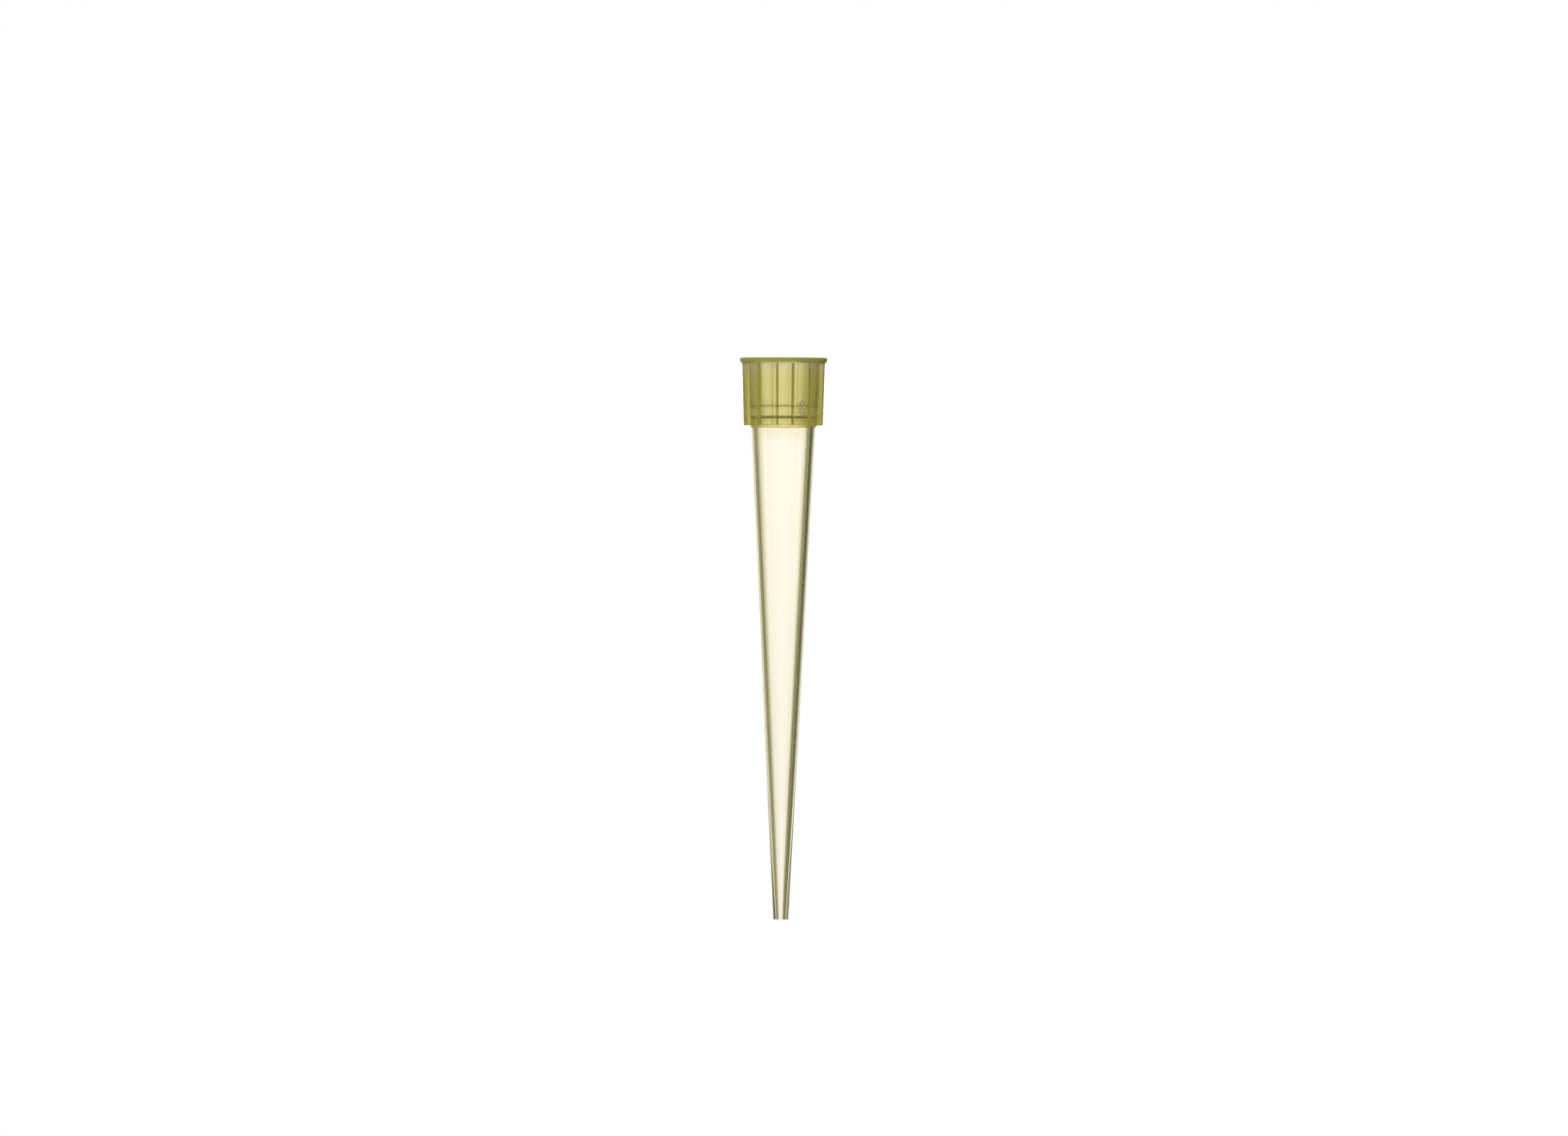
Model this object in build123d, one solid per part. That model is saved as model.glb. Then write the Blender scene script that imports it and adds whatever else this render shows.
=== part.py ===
from build123d import *
import os

# A pipette tip moulded in one piece. It stands on its mouth: the mouth's rim lies in the XY plane,
# its centre is the origin, and +Z runs along the axis to the fine end. All sizes are millimetres.

# outside
overall_length = 50.0
flange_radius = 3.89
flange_draft = 0.03        # how much the flange narrows over its height
flange_height = 0.38
flange_edge_round = 0.08
ring_end = 0.50            # a plain ring under the flange, flush with the ribs
sleeve_top_radius = 3.30   # the collar's wall between the ribs, at the ring
sleeve_end_radius = 3.20   # and at the shoulder
collar_height = 6.0        # ribs and sleeve end together, on the shoulder
boss_radius = 2.89         # a low step between the shoulder and the cone
boss_end = 6.18
cone_root_radius = 2.83
cone_end_radius = 0.67
shoulder_round = 0.05

# ribs: drafted, so that they are thicker at the root than on the crest
rib_count = 12
first_rib_angle = 15.0
rib_crest_width = 0.45
rib_root_width = 0.54
rib_top_radius = 3.72
rib_end_radius = 3.56
rib_edge_round = 0.06

# inside, from the mouth
land_radius = 3.27         # the rim is flat outside this radius
mouth_radius = 2.84        # and a funnel inside it leads down to this one
funnel_depth = 0.40
lead_in_end_radius = 2.62  # the taper that guides the nozzle in
lead_in_end = 4.18
step_radius = 2.555        # a step at its end, then a gentler slope to the band
step_end = 4.31
seal_radius = 2.54         # the straight sealing band that grips the nozzle
seal_start = 4.46
seal_end = 4.79
relief_radius = 2.57       # behind the band the wall opens again
relief_start = 4.87
relief_end_radius = 2.60
relief_end = 5.11
bore_root = 5.38           # the slope down to the long bore ends here
bore_root_radius = 2.46    # the cone's wall is about 0.4 thick from root to end
bore_end_radius = 0.29


def wall_section():
    """Half of the tip's section, closed, in the XZ plane: up the outside, back down the bore."""
    outside = [
        (land_radius, 0),
        (flange_radius, 0),
        (flange_radius - flange_draft, flange_height),
        (rib_top_radius, flange_height),
        (rib_top_radius, ring_end),
        (sleeve_top_radius, ring_end),
        (sleeve_end_radius, collar_height),
        (boss_radius, collar_height),
        (boss_radius, boss_end),
        (cone_root_radius, boss_end),
        (cone_end_radius, overall_length),
    ]
    inside = [
        (bore_end_radius, overall_length),
        (bore_root_radius, bore_root),
        (relief_end_radius, relief_end),
        (relief_radius, relief_start),
        (seal_radius, seal_end),
        (seal_radius, seal_start),
        (step_radius, step_end),
        (lead_in_end_radius, lead_in_end),
        (mouth_radius, funnel_depth),
    ]
    with BuildSketch(Plane.XZ) as section:
        with BuildLine():
            Polyline(*outside, *inside, close=True)
        make_face()
        flange_corners = section.vertices().filter_by(
            lambda v: v.X > flange_radius - 2 * flange_draft
        )
        fillet(flange_corners, flange_edge_round)
        sleeve_corner = section.vertices().filter_by(
            lambda v: abs(v.X - sleeve_end_radius) < 0.01 and abs(v.Z - collar_height) < 0.01
        )
        fillet(sleeve_corner, shoulder_round)
    return section.sketch


def rib_section(height, sleeve_radius, crest_radius):
    """A rib's cross-section at a height, from inside the wall out to its crest along +X."""
    inner_radius = (seal_radius + sleeve_end_radius) / 2
    flank = [
        (inner_radius, rib_root_width / 2),
        (sleeve_radius, rib_root_width / 2),
        (crest_radius, rib_crest_width / 2),
    ]
    other_flank = [(x, -y) for x, y in reversed(flank)]
    with BuildSketch(Plane.XY.offset(height)) as section:
        with BuildLine():
            Polyline(*flank, *other_flank, close=True)
        make_face()
    return section.sketch


def rib():
    """One rib along +X, lofted from the ring to the shoulder, with its two crest edges rounded."""
    with BuildPart() as one_rib:
        loft([
            rib_section(ring_end, sleeve_top_radius, rib_top_radius),
            rib_section(collar_height, sleeve_end_radius, rib_end_radius),
        ])
        middle_height = (ring_end + collar_height) / 2
        crest_edges = one_rib.edges().filter_by(
            lambda e: e.center().X > rib_end_radius and abs(e.center().Z - middle_height) < 0.01
        )
        fillet(crest_edges, rib_edge_round)
    return one_rib.part


def pipette_tip():
    """The revolved wall with its ring of ribs fused on."""
    with BuildPart() as tip:
        add(revolve(wall_section(), Axis.Z))
        with PolarLocations(0, rib_count, start_angle=first_rib_angle):
            add(rib())
    return tip.part


os.makedirs("parts", exist_ok=True)
tip = pipette_tip()
export_step(tip, "parts/pipette_tip.step")
print("pipette_tip", round(tip.volume, 2), "mm3")
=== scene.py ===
import math

import bpy
import numpy as np
from mathutils import Matrix, Vector


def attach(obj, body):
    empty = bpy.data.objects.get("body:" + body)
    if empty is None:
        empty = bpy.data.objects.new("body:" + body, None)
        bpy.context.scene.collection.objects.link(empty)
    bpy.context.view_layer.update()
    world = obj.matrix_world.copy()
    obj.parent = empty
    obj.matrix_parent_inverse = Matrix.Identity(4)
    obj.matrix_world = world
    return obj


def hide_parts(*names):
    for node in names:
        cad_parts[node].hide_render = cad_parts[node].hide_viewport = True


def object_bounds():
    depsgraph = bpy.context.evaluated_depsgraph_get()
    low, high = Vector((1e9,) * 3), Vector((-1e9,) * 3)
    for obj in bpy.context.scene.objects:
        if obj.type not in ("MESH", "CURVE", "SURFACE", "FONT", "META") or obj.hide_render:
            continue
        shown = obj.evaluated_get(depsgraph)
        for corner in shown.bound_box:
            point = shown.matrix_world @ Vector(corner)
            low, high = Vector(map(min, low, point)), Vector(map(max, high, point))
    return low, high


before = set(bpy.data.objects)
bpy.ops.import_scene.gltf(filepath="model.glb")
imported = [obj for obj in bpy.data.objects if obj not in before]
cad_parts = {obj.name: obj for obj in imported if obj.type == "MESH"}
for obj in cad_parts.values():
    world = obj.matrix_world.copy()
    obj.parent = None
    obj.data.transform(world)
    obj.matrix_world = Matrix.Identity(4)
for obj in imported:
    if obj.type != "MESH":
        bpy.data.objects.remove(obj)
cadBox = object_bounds()
print("frame loaded: a tip", round(cadBox[1].z * 1000, 2), "mm long")

mm = 0.001
hair = 0.001        # a length too small to see, in millimetres
tipLength = (cadBox[1].z - cadBox[0].z) / mm

# the moulded tip: lengths in millimetres along the axis from the mouth, radii from the axis
tip = {
    "landRadius": 3.27, "mouthRadius": 2.84, "funnelDepth": 0.40,
    "flangeRadius": 3.883, "flangeDraft": 0.01, "flangeHeight": 0.38, "flangeRound": 0.03,
    "ringRadius": 3.745, "ringEnd": 0.50,
    "sleeveTopRadius": 3.30, "sleeveEndRadius": 3.20, "ribEndRadius": 3.575, "collarHeight": 6.0,
    "bossRadius": 2.89, "bossEnd": 6.18, "coneRadius": 2.83, "endRadius": 0.67,
    "leadInEndRadius": 2.62, "leadInEnd": 4.24, "stepRadius": 2.555, "stepEnd": 4.34,
    "sealRadius": 2.54, "sealStart": 4.46, "sealEnd": 4.79,
    "reliefRadius": 2.61, "reliefStart": 4.90, "reliefEndRadius": 2.62, "reliefEnd": 5.18,
    "boreStart": 5.40, "boreRadius": 2.46, "boreEndRadius": 0.29,
    "ribCount": 12, "firstRibAngle": 15.0, "ribCrest": 0.45, "ribRoot": 0.48,
    "ribEdgeRound": 0.14, "ribRootRound": 0.05, "ribLead": 0.06, "ribSteps": 5, "gapColumns": 7,
    "rimRound": 0.04, "ringRound": 0.025, "shoulderRound": 0.05, "edgeRound": 0.03, "stepRound": 0.02,
    "wallStart": 0.10, "wallStop": 0.06,     # the even rows on the sleeve keep this far off its two ends
    "cornerSteps": 4, "guard": 0.03, "coneRows": 10, "leadInRows": 5, "rowsAbove": 14, "rowsBelow": 6,
}

# the raised cavity number: a plain 8 of two oval strokes on the sleeve between two ribs
number = {
    "gap": 7, "columns": 40, "height": 0.11, "strokeHalf": 0.09,
    "middle": 4.46, "rowsFrom": 3.75, "rowsTo": 5.17, "rows": 50,
    "ovals": [(-0.31, 0.18, 0.24), (0.29, 0.24, 0.30)],   # offset along the axis, half width, half length
    "paintedHighlightReach": 0.5,                                    # how far to either side of its middle the painted highlight may be
    "paintedHighlightRise": (0.05, 0.10),                            # a stroke takes the painted highlight, whiter and milkier, between these heights
    # how much milk the painted highlight adds to a stroke
    "paintedHighlightShare": 0.28,
}


# The angle round the tip of the number's middle, halfway between two ribs.
def numberTurn(p, mark):
    return math.radians(p["firstRibAngle"] + (mark["gap"] + 0.5) * 360 / p["ribCount"])


# Each corner of a line becomes a quadratic curve that starts and ends one setback away from it.
def cornerCurves(place, before, after, setback, steps):
    start = place - before / np.linalg.norm(before, axis=1)[:, None] * setback
    end = place + after / np.linalg.norm(after, axis=1)[:, None] * setback
    t = np.linspace(0, 1, steps)[None, :, None]
    return (1 - t) ** 2 * start[:, None] + 2 * t * (1 - t) * place[:, None] + t ** 2 * end[:, None]


# Rows along a closed section, given as (radius, height, setback, rows on the straight that follows). Rows
# given as a list are heights. Each straight also has a row close to either end, a guard's length in but never
# past a quarter of the way, so that the rounded corners do not tilt its shading.
def softCorners(corners, steps, guard):
    place = np.array([c[:2] for c in corners], float)
    setback = np.array([c[2] for c in corners], float)[:, None]
    before = place - np.roll(place, 1, axis=0)
    after = np.roll(place, -1, axis=0) - place
    curves = cornerCurves(place, before, after, setback, steps)
    rows = []
    for curve, following, corner in zip(curves, np.roll(curves, -1, axis=0), corners):
        start, end = curve[-1], following[0]
        near = min(guard / np.linalg.norm(end - start), 0.25)
        if np.ndim(corner[3]):
            inner = (corner[3] - start[1]) / (end[1] - start[1])
        else:
            inner = np.linspace(near, 1 - near, corner[3] + 2)[1:-1]
        s = np.concatenate([[near], inner, [1 - near]])[:, None]
        rows += [curve, start * (1 - s) + end * s]
    return np.vstack(rows)


# The closed section's corners, up the outside and back down the bore: through a gap between ribs, or along a
# rib's crest.
def tipSection(p, wallHeights, onRib):
    top = (p["ringRadius"], p["ringEnd"] + p["ribLead"]) if onRib else (p["sleeveTopRadius"], p["ringEnd"])
    foot = (p["ribEndRadius"] if onRib else p["sleeveEndRadius"], p["collarHeight"])
    return [
        (p["landRadius"], 0, p["rimRound"], 0),
        (p["flangeRadius"], 0, p["flangeRound"], 0),
        (p["flangeRadius"] - p["flangeDraft"], p["flangeHeight"], p["flangeRound"], 0),
        (p["ringRadius"], p["flangeHeight"], p["stepRound"], 0),
        (p["ringRadius"], p["ringEnd"], p["ringRound"], 0),
        (*top, p["edgeRound"], wallHeights),
        (*foot, p["shoulderRound"], 0),
        (p["bossRadius"], p["collarHeight"], p["edgeRound"], 0),
        (p["bossRadius"], p["bossEnd"], p["stepRound"], 0),
        (p["coneRadius"], p["bossEnd"], p["stepRound"], p["coneRows"]),
        (p["endRadius"], tipLength, p["shoulderRound"], 0),
        (p["boreEndRadius"], tipLength, p["edgeRound"], p["coneRows"]),
        (p["boreRadius"], p["boreStart"], p["edgeRound"], 0),
        (p["reliefEndRadius"], p["reliefEnd"], p["edgeRound"], 0),
        (p["reliefRadius"], p["reliefStart"], p["stepRound"], 0),
        (p["sealRadius"], p["sealEnd"], p["stepRound"], 0),
        (p["sealRadius"], p["sealStart"], p["stepRound"], 0),
        (p["stepRadius"], p["stepEnd"], p["stepRound"], 0),
        (p["leadInEndRadius"], p["leadInEnd"], p["stepRound"], p["leadInRows"]),
        (p["mouthRadius"], p["funnelDepth"], p["shoulderRound"], 0),
    ]


# Columns round the tip: each one's sideways offset from its rib's middle, the share of the rib's height that
# it stands at, and its angle. A rib's half is its crest, a rounded edge, a drafted flank and a rounded root,
# and between two ribs the columns are evenly turned.
def ribColumns(p, mark):
    height = p["ringRadius"] - p["sleeveTopRadius"]
    crest, root = p["ribCrest"] / 2, p["ribRoot"] / 2
    line = np.array([(0, height), (crest, height), (root, 0), (2 * root, 0)], float)
    setback = np.array([[p["ribEdgeRound"]], [p["ribRootRound"]]])
    straight = np.diff(line, axis=0)
    half = cornerCurves(line[1:3], straight[:2], straight[1:], setback, p["ribSteps"]).reshape(-1, 2)
    offset = np.concatenate([-half[::-1, 0], [0], half[:, 0]])
    share = np.concatenate([half[::-1, 1], [height], half[:, 1]]) / height
    pitch = 2 * math.pi / p["ribCount"]
    rootAngle = math.asin(offset[-1] / p["sleeveTopRadius"])
    offsets, shares, turns = [], [], []
    for rib in range(p["ribCount"]):
        columns = mark["columns"] if rib == mark["gap"] else p["gapColumns"]
        gap = np.linspace(rootAngle, pitch - rootAngle, columns + 2)[1:-1]
        start = math.radians(p["firstRibAngle"]) + rib * pitch
        offsets += [offset, np.zeros(len(gap))]
        shares += [share, np.zeros(len(gap))]
        turns += [np.full(len(offset), start), start + gap]
    return np.concatenate(offsets), np.concatenate(shares), np.concatenate(turns)


# How far the number stands up at a sideways and an endways place: a round-backed stroke along each oval, with
# the distance to an oval measured on the line from its middle.
def numberRise(mark, across, along):
    rise = np.zeros(np.broadcast(across, along).shape)
    for middle, halfWidth, halfLength in mark["ovals"]:
        ring = np.hypot(across / halfWidth, (along - middle) / halfLength) + 1e-6     # never zero
        away = np.abs(ring - 1) / ring * np.hypot(across, along - middle)
        rise = np.maximum(rise, mark["height"] * (1 - np.clip(away / mark["strokeHalf"], 0, 1) ** 2) ** 2)
    return rise


# Quads over a grid of points that closes on itself both ways.
def closedGrid(points):
    rows, columns = points.shape[:2]
    index = np.arange(rows * columns).reshape(rows, columns)
    right, up = np.roll(index, -1, axis=1), np.roll(index, -1, axis=0)
    corner = np.roll(right, -1, axis=0)
    return np.stack([index, right, corner, up], axis=-1).reshape(-1, 4)


# A mesh object from whole arrays of points and faces, smooth but for edges sharper than an angle in degrees.
def meshPiece(name, points, quads, sharpAngle=40):
    mesh = bpy.data.meshes.new(name)
    mesh.from_pydata(points.reshape(-1, 3).tolist(), [], quads.tolist())
    mesh.shade_smooth()
    mesh.set_sharp_from_angle(angle=math.radians(sharpAngle))
    mesh.validate()
    piece = bpy.data.objects.new(name, mesh)
    bpy.context.scene.collection.objects.link(piece)
    return piece


# The tip's whole skin: every column is a blend, by its share of a rib's height, of the two sections, and is
# turned by its own angle plus the angle that its sideways offset makes at its radius. The number is added to
# the sleeve.
def mouldedTip(p, mark):
    wallHeights = np.concatenate([
        np.linspace(p["ringEnd"] + p["wallStart"], mark["rowsFrom"], p["rowsAbove"], endpoint=False),
        np.linspace(mark["rowsFrom"], mark["rowsTo"], mark["rows"]),
        np.linspace(mark["rowsTo"], p["collarHeight"] - p["wallStop"], p["rowsBelow"])[1:]])
    gapRows = softCorners(tipSection(p, wallHeights, False), p["cornerSteps"], p["guard"])
    ribRows = softCorners(tipSection(p, wallHeights, True), p["cornerSteps"], p["guard"])
    offset, share, turn = ribColumns(p, mark)
    section = gapRows[:, None] * (1 - share[None, :, None]) + ribRows[:, None] * share[None, :, None]
    radius, height = section[..., 0], section[..., 1]
    onCollar = (height > p["flangeHeight"]) & (height < p["collarHeight"] - hair)
    onCollar = onCollar & (radius > p["bossRadius"])
    angle = turn + np.arcsin(offset / np.where(onCollar, radius, p["sleeveTopRadius"]))
    across = (angle - numberTurn(p, mark)) * p["sleeveEndRadius"]
    radius = radius + onCollar * (share < hair) * numberRise(mark, across, height - mark["middle"])
    points = np.stack([radius * np.cos(angle), radius * np.sin(angle), height], axis=-1) * mm
    return meshPiece("mouldedTip", points, closedGrid(points))


# A node socket that adds Math nodes as it is used in sums.
class Socket:
    def __init__(self, nodes, output):
        self.nodes = nodes
        self.output = output

    def combine(self, kind, first, second):
        return self.nodes.add("ShaderNodeMath", {"operation": kind}, {0: first, 1: second})

    def __add__(self, other):
        return self.combine("ADD", self, other)

    def __sub__(self, other):
        return self.combine("SUBTRACT", self, other)

    def __mul__(self, other):
        return self.combine("MULTIPLY", self, other)

    def __truediv__(self, other):
        return self.combine("DIVIDE", self, other)

    def __radd__(self, other):
        return self.combine("ADD", other, self)

    def __rsub__(self, other):
        return self.combine("SUBTRACT", other, self)

    def __rmul__(self, other):
        return self.combine("MULTIPLY", other, self)

    def __gt__(self, other):
        return self.combine("GREATER_THAN", self, other)

    def __lt__(self, other):
        return self.combine("LESS_THAN", self, other)

    # 0 below low, 1 above high, and a smooth step between
    def rise(self, low, high):
        return self.nodes.add("ShaderNodeMapRange", {"interpolation_type": "SMOOTHSTEP"},
                              {"Value": self, "From Min": low, "From Max": high})


# The nodes of one material or world.
class NodeSheet:
    def __init__(self, owner):
        owner.use_nodes = True
        self.tree = owner.node_tree
        self.tree.nodes.clear()

    def add(self, kind, settings=None, values=None, output=0):
        node = self.tree.nodes.new(kind)
        for name, value in (settings or {}).items():
            setattr(node, name, value)
        for name, value in (values or {}).items():
            if isinstance(value, Socket):
                self.tree.links.new(value.output, node.inputs[name])
            else:
                node.inputs[name].default_value = value
        return Socket(self, node.outputs[output]) if node.outputs else node

    def of(self, socket, output):
        return Socket(self, socket.output.node.outputs[output])

    def axes(self, vector):
        split = self.add("ShaderNodeSeparateXYZ", None, {"Vector": vector})
        return split, self.of(split, "Y"), self.of(split, "Z")

    # a colour that goes from first to second as factor goes from 0 to 1
    def blend(self, factor, first, second):
        return self.add("ShaderNodeMix", {"data_type": "RGBA"}, {0: factor, 6: first, 7: second}, output=2)

    def multiply(self, first, second):
        return self.add("ShaderNodeMix", {"data_type": "RGBA", "blend_type": "MULTIPLY"},
                        {0: 1.0, 6: first, 7: second}, output=2)

    # a grey read from (place, grey) stops as a number goes from 0 to 1
    def greyRamp(self, place, stops):
        node = self.tree.nodes.new("ShaderNodeValToRGB")
        node.color_ramp.interpolation = "LINEAR"
        while len(node.color_ramp.elements) < len(stops):
            node.color_ramp.elements.new(0.5)
        for element, (position, grey) in zip(node.color_ramp.elements, stops):
            element.position, element.color = position, (grey, grey, grey, 1)
        self.tree.links.new(place.output, node.inputs[0])
        return Socket(self, node.outputs[0])


plastic = {
    "ior": 1.49,
    "clearColour": (1.0, 0.99, 1.0, 1.0),
    "rootColour": (0.97, 0.945, 0.90, 1.0),
    "rootFade": (6.2, 8.0),               # millimetres from the mouth between which the root's colour fades
    "clearRoughness": 0.02,
    "mattColour": (0.97, 0.88, 0.50, 1.0),
    "mattRoughness": 0.32,
    "milkColour": (0.74, 0.825, 0.10, 1.0),
    # whitish painted light: a light veil on the sleeve next to the rim, and a highlight on the number's
    # strokes
    "paintedLightColour": (0.96, 0.98, 0.85, 1.0),
    "paintedVeilFade": (0.5, 1.8),              # millimetres from the mouth between which the painted light veil fades
    "milkRoughness": 0.5,
    "milkShare": 0.10,
    "rimMilkShare": 0.25,
    "endMilkShare": 0.30,
    "absorbColour": (1.0, 0.9, 0.0, 1.0),
    "absorbDensity": 240.0,
    "grainSize": 0.09,                    # millimetres
    "grainDepth": 0.002,                  # millimetres
    "grainDetail": 2.0,
    "edgeMargin": 0.01,                   # millimetres by which a finish runs past the edge where it ends
    "mouthMargin": 0.03,                  # and the polish past the funnel
}


# 1 on the number's strokes, by how far they stand above the sleeve in a small window round the number.
def numberStroke(x, y, z, radius, shape, mark):
    turn = numberTurn(shape, mark)
    across = (y * math.cos(turn) - x * math.sin(turn)) / mm
    thisSide = x * math.cos(turn) + y * math.sin(turn) > 0
    window = thisSide * (across * across < mark["paintedHighlightReach"] ** 2) * (z > mark["rowsFrom"] * mm)
    slope = (shape["sleeveTopRadius"] - shape["sleeveEndRadius"]) / (shape["collarHeight"] - shape["ringEnd"])
    sleeve = shape["sleeveTopRadius"] - (z / mm - shape["ringEnd"]) * slope
    return window * (z < mark["rowsTo"] * mm) * (radius / mm - sleeve).rise(*mark["paintedHighlightRise"])


# Clear yellow plastic, polished on the cone and in the bore and matt on the collar's outside. The rim is
# milkiest, the sleeve next to it is whitened as a painted light veil, the number's strokes are whitened
# as a painted highlight, and the cone is deepest in colour at its root.
def yellowPlastic(p, shape, mark):
    material = bpy.data.materials.new("yellowPolypropylene")
    sheet = NodeSheet(material)
    here = sheet.add("ShaderNodeTexCoord", output="Object")
    x, y, z = sheet.axes(here)
    radius = sheet.add("ShaderNodeMath", {"operation": "SQRT"}, {0: x * x + y * y})
    outside = radius > (shape["mouthRadius"] + p["mouthMargin"]) * mm
    matt = outside * (z < (shape["bossEnd"] + p["edgeMargin"]) * mm)
    grain = sheet.add("ShaderNodeTexNoise", None,
                      {"Vector": here, "Scale": 1 / (p["grainSize"] * mm), "Detail": p["grainDetail"]})
    bump = sheet.add("ShaderNodeBump", None,
                     {"Strength": 1.0, "Distance": p["grainDepth"] * mm, "Height": grain * matt})
    rootTint = sheet.blend((z / mm).rise(*p["rootFade"]), p["rootColour"], p["clearColour"])
    clear = sheet.add("ShaderNodeBsdfPrincipled", None, {
        "Base Color": rootTint, "Roughness": p["clearRoughness"],
        "IOR": p["ior"], "Transmission Weight": 1.0})
    frosted = sheet.add("ShaderNodeBsdfPrincipled", None, {
        "Base Color": p["mattColour"], "Roughness": p["mattRoughness"],
        "IOR": p["ior"], "Transmission Weight": 1.0, "Normal": bump})
    onRim = z < (shape["flangeHeight"] + p["edgeMargin"]) * mm
    # painted light veil: the sleeve next to the rim is whitened, less so away from the mouth
    paintedVeil = (1 - onRim) * (1 - (z / mm).rise(*p["paintedVeilFade"]))
    # painted highlight: the number's strokes are whitened and made milkier
    stroke = numberStroke(x, y, z, radius, shape, mark)
    milkAndPaintedLight = sheet.blend(paintedVeil + stroke, p["milkColour"], p["paintedLightColour"])
    milkWithPaintedLight = sheet.add("ShaderNodeBsdfPrincipled", None, {
        "Base Color": milkAndPaintedLight, "Roughness": p["milkRoughness"], "IOR": p["ior"], "Normal": bump})
    onEnd = z > (tipLength - p["edgeMargin"]) * mm
    share = matt * (p["milkShare"] + onRim * (p["rimMilkShare"] - p["milkShare"]))
    share = share + onEnd * p["endMilkShare"] + stroke * mark["paintedHighlightShare"]
    glassy = sheet.add("ShaderNodeMixShader", None, {0: matt, 1: clear, 2: frosted})
    shader = sheet.add("ShaderNodeMixShader", None, {0: share, 1: glassy, 2: milkWithPaintedLight})
    inside = sheet.add("ShaderNodeVolumeAbsorption", None,
                       {"Color": p["absorbColour"], "Density": p["absorbDensity"]})
    sheet.add("ShaderNodeOutputMaterial", None, {"Surface": shader, "Volume": inside})
    return material


studio = {
    "panelStrength": 1.175,
    "panelTurn": -2.3,                    # degrees from straight behind the tip to the backdrop's middle
    "panelGreys": [                       # degrees off the backdrop's middle, grey
        (-180, 0.12), (-140, 0.15), (-104, 0.25), (-97, 0.5), (-83, 0.5), (-76, 0.25), (-52, 0.13),
        (-36, 0.09), (-27, 0.13), (-19, 0.22), (-16, 0.3), (-13, 0.56), (-10, 0.81), (-6, 0.94),
        (0, 1.0), (6, 0.93), (10, 0.86), (16, 0.72), (19, 0.56), (25, 0.42), (30, 0.2), (34, 0.22),
        (38, 0.36), (44, 0.26), (52, 0.11), (62, 0.3), (76, 0.3), (83, 0.5), (97, 0.5), (104, 0.25),
        (140, 0.12), (180, 0.12)],
    "dimTint": (1.0, 0.95, 0.42, 1.0),    # the tint of the darkest stops
    "topFade": (-0.7, 1.6, 0.08),         # degrees above the horizon between which a panel loses this share
    "panelLift": (7.0, 12.0),             # degrees above and below the horizon where a panel fades
    "surround": (0.055, 0.05, 0.005, 1.0),
    "lowPanels": 8,
    "lowFade": (4.0, 21.0),               # degrees off the middle of a low panel where it fades
    "lowFrom": (11.5, 13.5),              # degrees below the horizon where the low panels begin
    "besideFrom": (0.9, 1.25),            # the same for the two low panels beside the tip
    "besideShare": 0.85,                  # how squarely beside the tip a direction is to belong to those two
    "fillSide": 0.36,                     # how much of the fill's brighter half is on one hand, not in front
    "fillSpread": (-0.1, 1.0),            # how far round from behind to in front it grows
    "fillBehind": (0.0, 0.0, 0.0, 1.0),
    "fillFront": (2.1, 2.1, 2.0, 1.0),
}


# White to the camera. To glass and gloss, a bright backdrop behind the tip, dimmer soft-edged panels round
# the rest of the horizon, a ring of low white panels beneath them, and nearly black elsewhere. To matt things,
# a soft fill that grows from behind to in front and leans to one hand.
def panelWorld(p):
    world = bpy.data.worlds.new("lightTent")
    bpy.context.scene.world = world
    sheet = NodeSheet(world)
    x, y, z = sheet.axes(sheet.add("ShaderNodeTexCoord", output="Generated"))
    turn = sheet.add("ShaderNodeMath", {"operation": "ARCTAN2"}, {0: x, 1: y})
    lift = sheet.add("ShaderNodeMath", {"operation": "ARCSINE"}, {0: z})
    height = sheet.add("ShaderNodeMath", {"operation": "ABSOLUTE"}, {0: lift})
    off = turn / (2 * math.pi) + (0.5 - p["panelTurn"] / 360)
    grey = sheet.greyRamp(sheet.add("ShaderNodeMath", {"operation": "FRACT"}, {0: off}),
                          [(0.5 + d / 360, g) for d, g in p["panelGreys"]])
    level = 1 - height.rise(*np.radians(p["panelLift"]))
    faded = grey * (1 - p["topFade"][2] * lift.rise(*np.radians(p["topFade"][:2])))
    offLow = sheet.add("ShaderNodeMath", {"operation": "PINGPONG"}, {0: turn, 1: math.pi / p["lowPanels"]})
    beside = x * x > p["besideShare"]
    depth = (1 - beside) * (0 - lift).rise(*np.radians(p["lowFrom"]))
    depth = depth + beside * (0 - lift).rise(*np.radians(p["besideFrom"]))
    low = (1 - offLow.rise(*np.radians(p["lowFade"]))) * depth
    full = (*(3 * [p["panelStrength"]]), 1)
    tint = sheet.blend(grey, p["dimTint"], (1, 1, 1, 1))
    panel = sheet.multiply(sheet.multiply(tint, faded), full)
    seen = sheet.blend(low, sheet.blend(level, p["surround"], panel), full)
    path = sheet.add("ShaderNodeLightPath", output="Is Camera Ray")
    through = sheet.of(path, "Is Transmission Ray") + sheet.of(path, "Is Glossy Ray") > 0.5
    even = sheet.blend((x * p["fillSide"] - y).rise(*p["fillSpread"]), p["fillBehind"], p["fillFront"])
    fill = sheet.add("ShaderNodeBackground", None, {"Color": even, "Strength": 1.0})
    glass = sheet.add("ShaderNodeBackground", None, {"Color": seen, "Strength": 1.0})
    white = sheet.add("ShaderNodeBackground", None, {"Color": (1, 1, 1, 1), "Strength": 1.0})
    mixed = sheet.add("ShaderNodeMixShader", None, {0: through, 1: fill, 2: glass})
    mixed = sheet.add("ShaderNodeMixShader", None, {0: path, 1: mixed, 2: white})
    sheet.add("ShaderNodeOutputWorld", None, {"Surface": mixed})


ground = {
    "size": 0.6,
    "gap": 0.02,          # millimetres between the mouth and the floor
    "colour": (0.9, 0.9, 0.9, 1.0),
    "glow": 0.70,         # white added where the camera sees the floor
}


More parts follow.
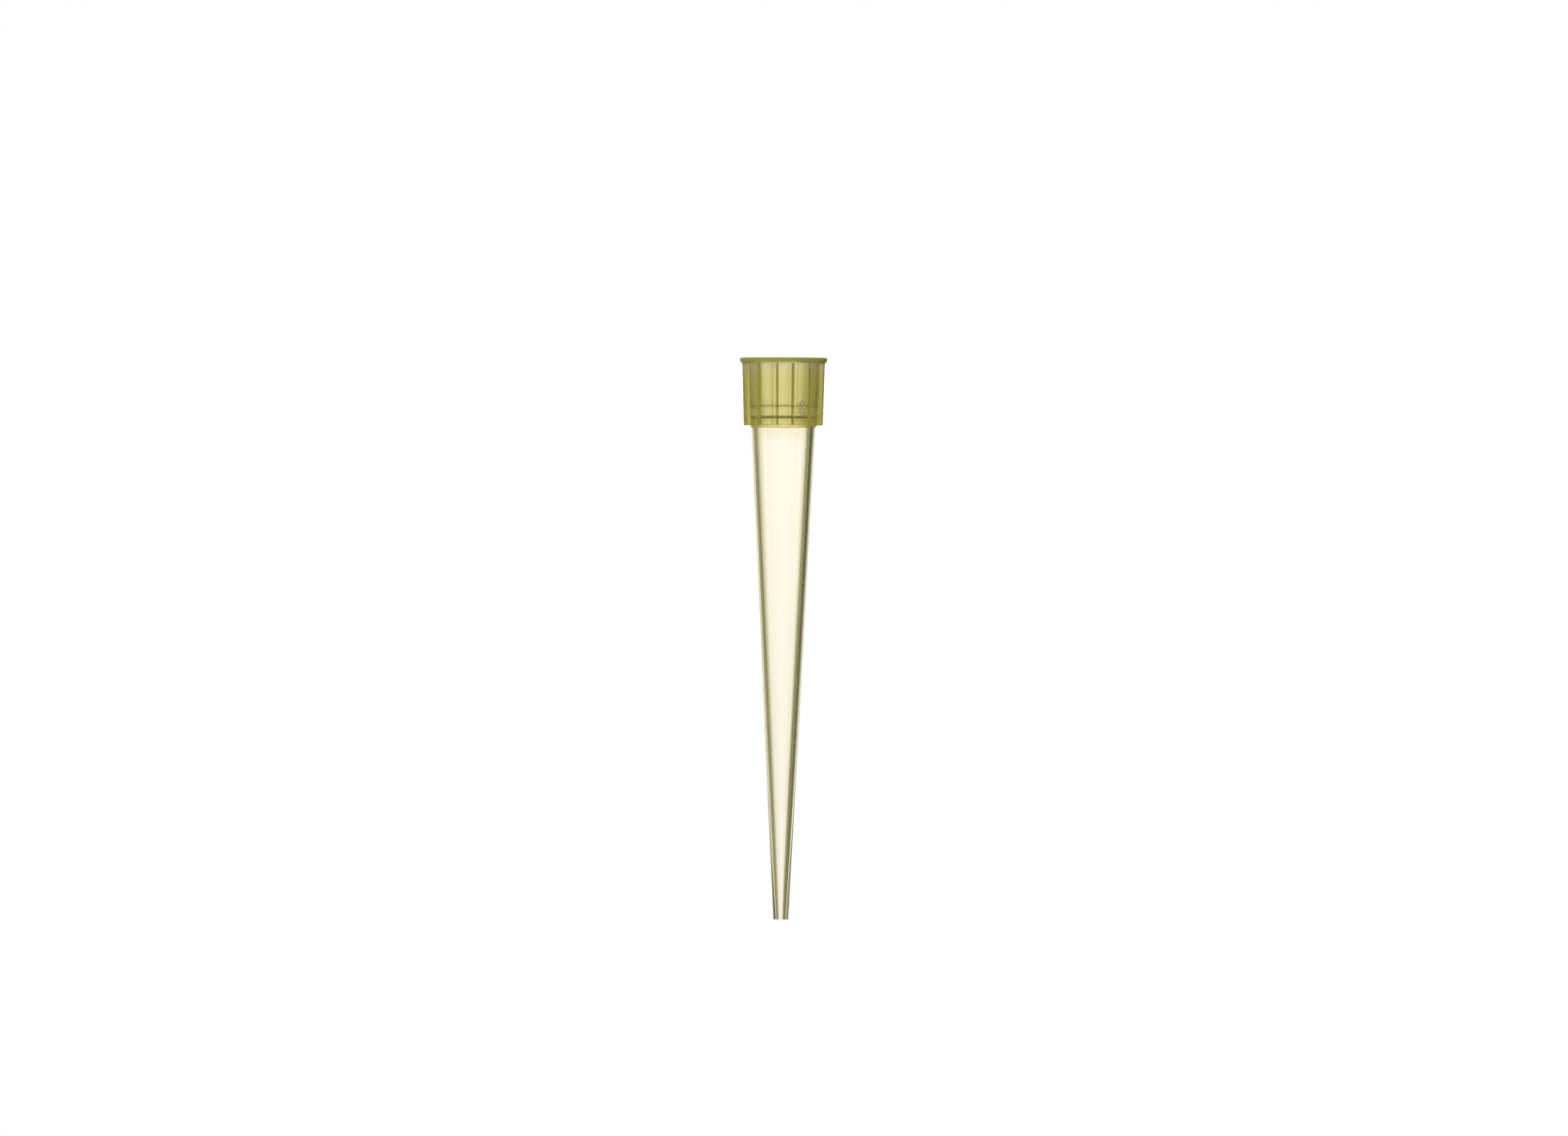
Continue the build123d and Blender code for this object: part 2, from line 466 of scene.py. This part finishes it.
# A plain pale floor just under the mouth, white to the camera but for the tip's shadow, and clear to rays
# that come through the tip, so that they see the light tent's panels.
def paleFloor(p):
    half = p["size"] / 2
    points = np.array([(-half, -half, 0), (half, -half, 0), (half, half, 0), (-half, half, 0)])
    floor = meshPiece("floor", points - np.array([0, 0, p["gap"] * mm]), np.array([[0, 1, 2, 3]]))
    material = bpy.data.materials.new("floorWhite")
    sheet = NodeSheet(material)
    path = sheet.add("ShaderNodeLightPath", output="Is Camera Ray")
    through = sheet.of(path, "Is Transmission Ray")
    lit = sheet.add("ShaderNodeBsdfDiffuse", None, {"Color": p["colour"]})
    glow = sheet.add("ShaderNodeEmission", None, {"Color": (1, 1, 1, 1), "Strength": p["glow"]})
    both = sheet.add("ShaderNodeAddShader", None, {0: lit, 1: glow})
    clear = sheet.add("ShaderNodeBsdfTransparent", None, {"Color": (1, 1, 1, 1)})
    mixed = sheet.add("ShaderNodeMixShader", None, {0: path, 1: lit, 2: both})
    mixed = sheet.add("ShaderNodeMixShader", None, {0: through, 1: mixed, 2: clear})
    sheet.add("ShaderNodeOutputMaterial", None, {"Surface": mixed})
    floor.data.materials.append(material)


lens = {
    "distance": 1.25,          # metres from the axis
    "turn": 2.3,               # degrees round the tip
    "lean": -0.286,            # degrees that the tip leans in the picture
    "height": 18.7,            # millimetres above the floor
    "side": -0.128,            # millimetres from the axis, along the camera's right
    "pictureWidth": 139.57,    # millimetres across the picture at the tip
    "sensor": 36.0,
    "clip": (0.01, 10.0),      # metres
}


# A long lens near the floor, upside down, so that the tip hangs point down in the picture.
def portraitCamera(p):
    data = bpy.data.cameras.new("portrait")
    camera = bpy.data.objects.new("portrait", data)
    bpy.context.scene.collection.objects.link(camera)
    bpy.context.scene.camera = camera
    turn = math.radians(p["turn"])
    forward = Vector((-math.sin(turn), math.cos(turn), 0))
    upright = Matrix.Rotation(math.radians(p["lean"]), 3, forward) @ Vector((0, 0, -1))
    right = forward.cross(upright)
    camera.matrix_world = Matrix((right, upright, -forward)).transposed().to_4x4()
    camera.location = Vector((0, 0, p["height"] * mm)) - forward * p["distance"] - right * p["side"] * mm
    data.sensor_width = p["sensor"]
    data.lens = p["sensor"] * p["distance"] / (p["pictureWidth"] * mm)
    data.clip_start, data.clip_end = p["clip"]


tipPiece = mouldedTip(tip, number)
tipPiece.data.materials.append(yellowPlastic(plastic, tip, number))
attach(tipPiece, "root")
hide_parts("pipette_tip")
print("tip made:", len(tipPiece.data.polygons), "faces")

panelWorld(studio)
paleFloor(ground)
portraitCamera(lens)
bpy.context.scene.view_settings.view_transform = "Standard"
print("studio and camera set")
